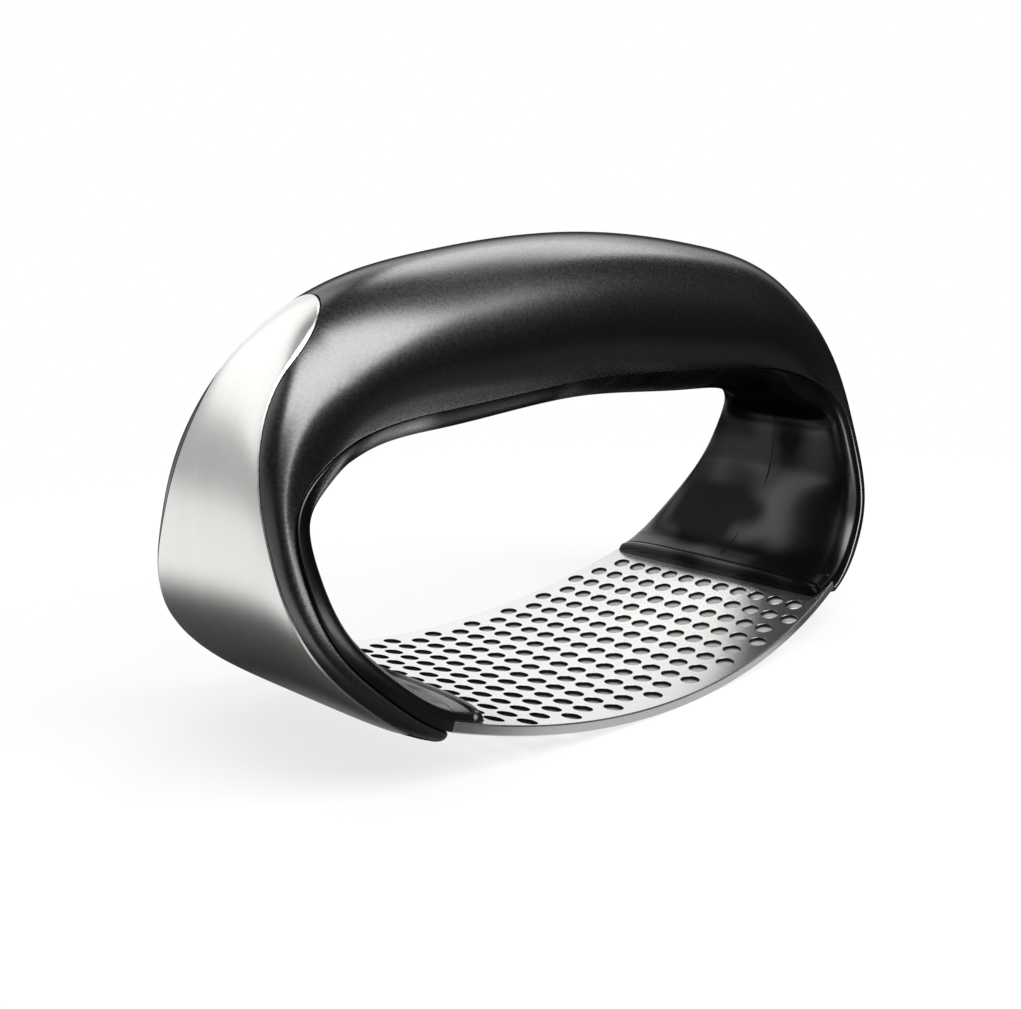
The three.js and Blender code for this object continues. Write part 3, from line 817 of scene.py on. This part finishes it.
def lip_profile(sizes, from_lip, least):
    """What shapes the liner's depth into a round nose, a bead and a groove: a factor, then what is added."""
    nose = np.sqrt(np.clip(1 - np.clip(1 - from_lip / sizes.lip_nose, 0, 1) ** 2, 0, 1))
    bead = np.clip(from_lip / sizes.lip_bead, 0, 1)
    rise = sizes.lip_bead_rise * np.sqrt(np.clip(1 - (2 * bead - 1) ** 2, 0, 1))
    into = np.clip((from_lip - sizes.lip_bead) / sizes.lip_groove, 0, 1)
    dip = sizes.lip_groove_depth * np.sin(math.pi * into) ** 2
    return nose, least * (1 - nose) + rise - dip


def build_end_plates(band, material):
    """A steel plate in each end's recess, with a bevelled edge."""
    sizes = band.sizes
    top = band.grid(-sizes.bevel, sizes.proud)
    edge = band.grid(0.0, sizes.proud - sizes.bevel)
    under = band.grid(0.0, -sizes.thickness)
    for name, side in (("right", 1), ("left", -1)):
        parts = MeshParts()
        flip = np.array([side, 1, 1])
        upper, rim, lower = (parts.grid(points * flip) for points in (top, edge, under))
        parts.quads(upper)
        parts.quads(lower)
        parts.strip(loop_of(upper), loop_of(rim))
        parts.strip(loop_of(rim), loop_of(lower))
        parts.piece(f"{name}_brushed_plate", material, "brushed_steel", f"{name}_end_plate")


class PlateLayout:
    """The crushing plate laid flat: its outline and its holes, as lengths along it and across it."""

    def __init__(self, ring_sizes, sizes):
        self.sizes = sizes
        self.radius = ring_sizes.rock_radius
        self.end = self.radius * math.asin(ring_sizes.shell_end_x / self.radius)
        self.lip = self.radius * math.asin(ring_sizes.lip_x / self.radius)

    def reach(self, along):
        """Half width at a length along the plate."""
        narrowing = (self.sizes.half_width - self.sizes.end_half_width) * (along / self.end) ** 2
        return self.sizes.half_width - narrowing

    def holes(self):
        """Centres of the holes: staggered rows that keep clear of edge and lip."""
        sizes = self.sizes
        clear = sizes.hole_diameter / 2 + sizes.edge_margin
        centres = []
        for row in range(sizes.row_count):
            along = (row - (sizes.row_count - 1) / 2) * sizes.row_pitch
            shift = sizes.hole_pitch / 4 * (1 if row % 2 == 0 else -1)
            for hole in range(sizes.holes_in_row):
                across = (hole - (sizes.holes_in_row - 1) / 2) * sizes.hole_pitch + shift
                if abs(across) + clear <= self.reach(along) and abs(along) + clear <= self.lip:
                    centres.append((along, across))
        return np.array(centres)

    def outline(self, inset):
        """The plate's border, moved in by an inset; every inset gives as many points."""
        end = self.end - self.sizes.end_gap - inset
        front = np.linspace(-end, end, round(2 * self.end / self.sizes.mesh_step))
        reach = self.reach(front) - inset
        end_points = round(2 * self.sizes.end_half_width / self.sizes.mesh_step)
        across = np.linspace(-reach[-1], reach[-1], end_points)[1:-1]
        return np.vstack([
            np.column_stack([front, -reach]),
            np.column_stack([np.full(len(across), end), across]),
            np.column_stack([front[::-1], reach[::-1]]),
            np.column_stack([np.full(len(across), -end), across[::-1]]),
        ])

    def between(self, centres):
        """Points of the sheet between the holes and inside the border."""
        step = self.sizes.mesh_step
        half_width = self.sizes.half_width
        along, across = np.meshgrid(
            np.arange(-self.end, self.end, step), np.arange(-half_width, half_width, step)
        )
        spots = np.column_stack([along.ravel(), across.ravel()])
        inside = np.abs(spots[:, 1]) < self.reach(spots[:, 0]) - step / 2
        inside &= np.abs(spots[:, 0]) < self.end - self.sizes.end_gap - step / 2
        gaps = np.linalg.norm(spots[:, None, :] - centres[None, :, :], axis=2).min(axis=1)
        return spots[inside & (gaps > self.sizes.hole_diameter / 2 + step / 2)]

    def rolled(self, flat, height):
        """Points in space for the flat sheet rolled to its radius, at a height over its underside."""
        angle = flat[:, 0] / self.radius
        inner = self.radius - height
        return np.column_stack([inner * np.sin(angle), flat[:, 1], self.radius - inner * np.cos(angle)])


def build_crushing_plate(layout, material):
    """The perforated plate, with round holes, softened rims and a mark on the upper walls of the holes, where
    the steel takes a painted shade.
    """
    sizes = layout.sizes
    centres = layout.holes()
    turn = np.linspace(0, 2 * math.pi, HOLE_SIDES, endpoint=False)
    ring = np.column_stack([np.cos(turn), np.sin(turn)])
    radius = sizes.hole_diameter / 2
    rims = centres[:, None, :] + ring[None, :, :] * (radius + sizes.hole_bevel)
    border = layout.outline(sizes.edge_bevel)
    flat = np.vstack([border, rims.reshape(-1, 2), layout.between(centres)])

    loops = [np.arange(len(border))]
    loops += [len(border) + i * HOLE_SIDES + np.arange(HOLE_SIDES) for i in range(len(centres))]
    edges = [(int(a), int(b)) for loop in loops for a, b in zip(loop, np.roll(loop, -1))]
    scale = 1 / sizes.hole_pitch
    spots = [Vector(point) for point in flat * scale]
    made, _, triangles, origins, _, _ = delaunay_2d_cdt(spots, edges, [], INSIDE_ONLY, SPOT_TOLERANCE)
    flat = np.array([tuple(point) for point in made]) / scale
    number = {old: new for new, olds in enumerate(origins) for old in olds}
    triangles = np.array([list(face) for face in triangles])
    rim_of = np.full(len(flat), -1)
    for hole, loop in enumerate(loops[1:]):
        rim_of[[number[int(i)] for i in loop]] = hole
    corners = rim_of[triangles]
    in_hole = (corners[:, 0] >= 0) & (corners == corners[:, :1]).all(axis=1)
    triangles = triangles[~in_hole]

    parts = MeshParts()
    upper = parts.add(layout.rolled(flat, sizes.thickness))
    lower = parts.add(layout.rolled(flat, 0.0))
    parts.faces += upper[triangles].tolist()
    parts.faces += lower[triangles].tolist()
    walls = [layout.outline(0.0)] + [centre + ring * radius for centre in centres]
    bevels = [sizes.edge_bevel] + [sizes.hole_bevel] * len(centres)
    # The holes' walls are marked for painted shade from the rim down; the rings below are unmarked, so the
    # shade fades back to bright steel
    marks = [0.0] + [1.0] * len(centres)
    for loop, wall, bevel, mark in zip(loops, walls, bevels, marks):
        flat_loop = np.array([number[int(i)] for i in loop])
        high = parts.add(layout.rolled(wall, sizes.thickness - bevel), mark)
        painted_shade = parts.add(layout.rolled(wall, sizes.thickness - sizes.painted_shade_depth), mark)
        bright = parts.add(layout.rolled(wall, sizes.thickness - sizes.painted_shade_end))
        low = parts.add(layout.rolled(wall, bevel))
        parts.strip(upper[flat_loop], high)
        parts.strip(high, painted_shade)
        parts.strip(painted_shade, bright)
        parts.strip(bright, low)
        parts.strip(low, lower[flat_loop])
    parts.piece("perforated_plate", material, "polished_steel", "crushing_plate")


# Stage: camera, lamps, floor and world

CAMERA_PLACE = (-0.12094, -0.11012, 0.05859)
CAMERA_AIM = (0.6914, 0.6875, -0.2218)
CAMERA_LENS = 45.84
CAMERA_CLIP = (0.005, 20.0)
SENSOR_WIDTH = 36.0
LAMP_AIM = (0.0, 0.0, 0.035)
LAMP_DISTANCE = 0.6

# Directions: what the crushing plate mirrors toward the camera, and back to the left
PLATE_VIEW = (0.691, 0.687, 0.222)
BACK_LEFT = (-0.7, 0.7, 0.0)

# Floor: its size, and distances from the middle over which it changes as it is seen and as it is mirrored
FLOOR_RADIUS = 0.5
FLOOR_SIDES = 64
FLOOR_LEVEL = -0.00002
SEEN_FADE = (0.06, 0.2)
NEAR_FADE = (0.03, 0.046)
SHADE_FADE = (0.08, 0.15)
BACK_PAINT = (0.066, 0.11)
BACK_GLOW = (0.075, 0.115)
BACK_SIDE = (-0.02, 0.05)
SHADOW_LIGHT = 0.76
NEAR_LIGHT = 0.45

# World: its light on the object, and how bright it is where it is mirrored
AMBIENT = 0.12
ROOM = 0.012
ROOM_LEFT = 0.42
LEFT_SPREAD = (0.2, 0.7)
LEFT_HEIGHT = (0.15, 0.4)
BACKDROP_SPREAD = (0.80, 0.90)

# Name, then azimuth and elevation of both ends of the soft box, its width and its brightness
LAMPS = (
    ("back_strip", (50, 54), (-4, 38), 0.22, 3.4),
    ("front_box", (-150, 60), (-60, 20), 0.28, 6.2),
    ("left_back_box", (78, 36), (158, 34), 0.50, 1.25),
)


def make_camera():
    """The camera, where the photograph was taken from."""
    data = bpy.data.cameras.new("camera")
    data.sensor_width = SENSOR_WIDTH
    data.lens = CAMERA_LENS
    data.clip_start, data.clip_end = CAMERA_CLIP
    camera = bpy.data.objects.new("camera", data)
    camera.location = CAMERA_PLACE
    camera.rotation_mode = "QUATERNION"
    camera.rotation_quaternion = Vector(CAMERA_AIM).to_track_quat("-Z", "Y")
    bpy.context.scene.collection.objects.link(camera)
    bpy.context.scene.camera = camera


def toward(azimuth, elevation):
    """A unit vector at an azimuth and an elevation in degrees."""
    turn, rise = math.radians(azimuth), math.radians(elevation)
    return Vector((math.cos(turn) * math.cos(rise), math.sin(turn) * math.cos(rise), math.sin(rise)))


def make_lamp(name, start, end, width, brightness):
    """A soft box that reaches from one direction to another and faces the object."""
    first, last = toward(*start) * LAMP_DISTANCE, toward(*end) * LAMP_DISTANCE
    middle = (first + last) / 2
    back = middle.normalized()
    along = (last - first).normalized()
    data = bpy.data.lights.new(name, "AREA")
    data.shape = "RECTANGLE"
    data.size = (last - first).length
    data.size_y = width
    data.energy = brightness * math.pi * data.size * width
    lamp = bpy.data.objects.new(name, data)
    turn = Matrix((along, back.cross(along), back)).transposed()
    lamp.matrix_world = Matrix.Translation(Vector(LAMP_AIM) + middle) @ turn.to_4x4()
    bpy.context.scene.collection.objects.link(lamp)


def ray_kinds(recipe):
    """Two masks: rays from the camera or through glass, and mirrored rays."""
    camera, glossy, through = (
        recipe.node("ShaderNodeLightPath", output=f"Is {kind} Ray")
        for kind in ("Camera", "Glossy", "Transmission")
    )
    return camera + through, glossy


def make_floor(finishes):
    """A floor that is pale where it is seen or mirrored behind the object, and keeps the object's shadow; for
    mirrored rays it also glows white close to the object, a painted reflection in the steel.
    """
    mesh = bpy.data.meshes.new("floor")
    turns = np.linspace(0, 2 * math.pi, FLOOR_SIDES, endpoint=False)
    level = np.full(FLOOR_SIDES, FLOOR_LEVEL)
    rim = np.column_stack([FLOOR_RADIUS * np.cos(turns), FLOOR_RADIUS * np.sin(turns), level])
    mesh.from_pydata(rim, [], [list(range(FLOOR_SIDES))])
    floor = bpy.data.objects.new("floor", mesh)
    bpy.context.scene.collection.objects.link(floor)
    recipe = new_finish("floor")
    spot = recipe.node("ShaderNodeTexCoord", output="Object")
    away = recipe.node("ShaderNodeVectorMath", {"operation": "LENGTH"}, {0: spot}, "Value")
    seen, mirrored = ray_kinds(recipe)
    mirrored_back = mirrored * recipe.ranged(recipe.toward(spot, BACK_LEFT), *BACK_SIDE)
    pale = seen + mirrored_back * recipe.ranged(away, *BACK_PAINT)
    speckle = recipe.noise(spot, scale=400.0)
    dark, light = shades(finishes.floor, 0.99, 1.01)
    far_grey, near_grey = shades(finishes.floor_shade, 0.15, 1.0)
    grey = recipe.tinted(recipe.ranged(away, *SHADE_FADE), near_grey, far_grey)
    colour = recipe.tinted(pale, grey, recipe.tinted(speckle, dark, light))
    paint = recipe.node("ShaderNodeBsdfDiffuse", None, {"Color": colour})
    white = recipe.node("ShaderNodeEmission", None, {"Color": (1, 1, 1, 1), "Strength": 1.0})
    shown = seen * recipe.ranged(away, *SEEN_FADE, SHADOW_LIGHT, 1.0)
    # Painted reflection: for mirrored rays the floor glows close to the object and behind it to the left,
    # which lights what the steel mirrors
    near = mirrored * recipe.ranged(away, *NEAR_FADE, NEAR_LIGHT, 0.0)
    fade = shown + near + mirrored_back * recipe.ranged(away, *BACK_GLOW)
    mixed = recipe.node("ShaderNodeMixShader", None, {0: fade, 1: paint, 2: white})
    mesh.materials.append(recipe.finish(mixed))


def make_world():
    """A dim room for light, and the white background for what is seen or mirrored."""
    world = bpy.data.worlds.new("studio")
    bpy.context.scene.world = world
    recipe = Recipe(world)
    seen, mirrored = ray_kinds(recipe)
    direction = recipe.node("ShaderNodeTexCoord", output="Generated")
    height = recipe.node("ShaderNodeSeparateXYZ", None, {0: direction}, "Z")
    backdrop = recipe.ranged(recipe.toward(direction, PLATE_VIEW), *BACKDROP_SPREAD)
    left = recipe.ranged(recipe.toward(direction, BACK_LEFT), *LEFT_SPREAD)
    side = left * recipe.ranged(height, *LEFT_HEIGHT, ROOM_LEFT, 0.0)
    strength = seen + mirrored * (backdrop + side + ROOM) + (1 - seen - mirrored) * AMBIENT
    glow = recipe.node("ShaderNodeBackground", None, {"Color": (1, 1, 1, 1), "Strength": strength})
    recipe.node("ShaderNodeOutputWorld", None, {"Surface": glow})


# Operators, one for each piece or group of like pieces


def ring_and_band(scene):
    """The ring and the outline of its end plates, from the scene's sizes."""
    ring = Ring(scene.rocker_ring)
    return ring, EndBand(ring, scene.rocker_end_plates)


class ROCKER_OT_stage(bpy.types.Operator):
    """Sets up the camera, the lamps, the floor and the background"""

    bl_idname = "rocker.stage"
    bl_label = "Stage"

    def execute(self, context):
        context.scene.view_settings.view_transform = "Standard"
        make_camera()
        for lamp in LAMPS:
            make_lamp(*lamp)
        make_floor(context.scene.rocker_finishes)
        make_world()
        return {"FINISHED"}


class ROCKER_OT_shell(bpy.types.Operator):
    """Builds the outer shell of the ring, with recesses for the end plates"""

    bl_idname = "rocker.shell"
    bl_label = "Handle shell"

    def execute(self, context):
        ring, band = ring_and_band(context.scene)
        build_shell(ring, band, shell_plastic(context.scene.rocker_finishes))
        return {"FINISHED"}


class ROCKER_OT_liner(bpy.types.Operator):
    """Builds the liner on the inside of the ring, with its beaded lips"""

    bl_idname = "rocker.liner"
    bl_label = "Inner liner"

    def execute(self, context):
        scene = context.scene
        build_liner(Ring(scene.rocker_ring), scene.rocker_plate, liner_plastic(scene.rocker_finishes))
        return {"FINISHED"}


class ROCKER_OT_crushing_plate(bpy.types.Operator):
    """Builds the curved plate with its staggered holes"""

    bl_idname = "rocker.crushing_plate"
    bl_label = "Crushing plate"

    def execute(self, context):
        scene = context.scene
        layout = PlateLayout(scene.rocker_ring, scene.rocker_plate)
        build_crushing_plate(layout, plate_steel(scene.rocker_finishes))
        return {"FINISHED"}


class ROCKER_OT_end_plates(bpy.types.Operator):
    """Builds the brushed steel plates in the ends of the shell"""

    bl_idname = "rocker.end_plates"
    bl_label = "End plates"

    def execute(self, context):
        _, band = ring_and_band(context.scene)
        build_end_plates(band, brushed_steel(context.scene.rocker_finishes))
        return {"FINISHED"}


class ROCKER_OT_fixings(bpy.types.Operator):
    """Finishes the hidden screws and adhesive pads, which keep their solids"""

    bl_idname = "rocker.fixings"
    bl_label = "Screws and pads"

    def execute(self, context):
        finishes = context.scene.rocker_finishes
        made = {"_screw": screw_steel(finishes), "_adhesive_pad": foam_adhesive(finishes)}
        for name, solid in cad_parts.items():
            for ending, material in made.items():
                if name.endswith(ending):
                    solid.data.materials.clear()
                    solid.data.materials.append(material)
        return {"FINISHED"}


PIECES = (
    ROCKER_OT_stage,
    ROCKER_OT_shell,
    ROCKER_OT_liner,
    ROCKER_OT_crushing_plate,
    ROCKER_OT_end_plates,
    ROCKER_OT_fixings,
)
GROUPS = {
    "rocker_ring": RingSizes,
    "rocker_plate": PlateSizes,
    "rocker_end_plates": EndPlateSizes,
    "rocker_finishes": Finishes,
}


class ROCKER_PT_pieces(bpy.types.Panel):
    """Lists the pieces of the garlic rocker with their sizes"""

    bl_idname = "ROCKER_PT_pieces"
    bl_label = "Garlic Rocker"
    bl_space_type = "VIEW_3D"
    bl_region_type = "UI"
    bl_category = "Rocker"

    def draw(self, context):
        for operator in PIECES:
            self.layout.operator(operator.bl_idname)
        for group, kind in GROUPS.items():
            box = self.layout.box()
            for name in kind.__annotations__:
                box.prop(getattr(context.scene, group), name)


CLASSES = (*GROUPS.values(), *PIECES, ROCKER_PT_pieces)


def register():
    """Registers the classes and puts the sizes and colours on the scene."""
    for kind in CLASSES:
        bpy.utils.register_class(kind)
    for group, kind in GROUPS.items():
        setattr(bpy.types.Scene, group, PointerProperty(type=kind))


def unregister():
    """Undoes what register does."""
    for group in GROUPS:
        delattr(bpy.types.Scene, group)
    for kind in reversed(CLASSES):
        bpy.utils.unregister_class(kind)


def main():
    """Builds the rocker piece by piece."""
    register()
    bpy.ops.rocker.stage()
    bpy.ops.rocker.shell()
    bpy.ops.rocker.liner()
    bpy.ops.rocker.crushing_plate()
    bpy.ops.rocker.end_plates()
    bpy.ops.rocker.fixings()


if __name__ == "__main__":
    main()
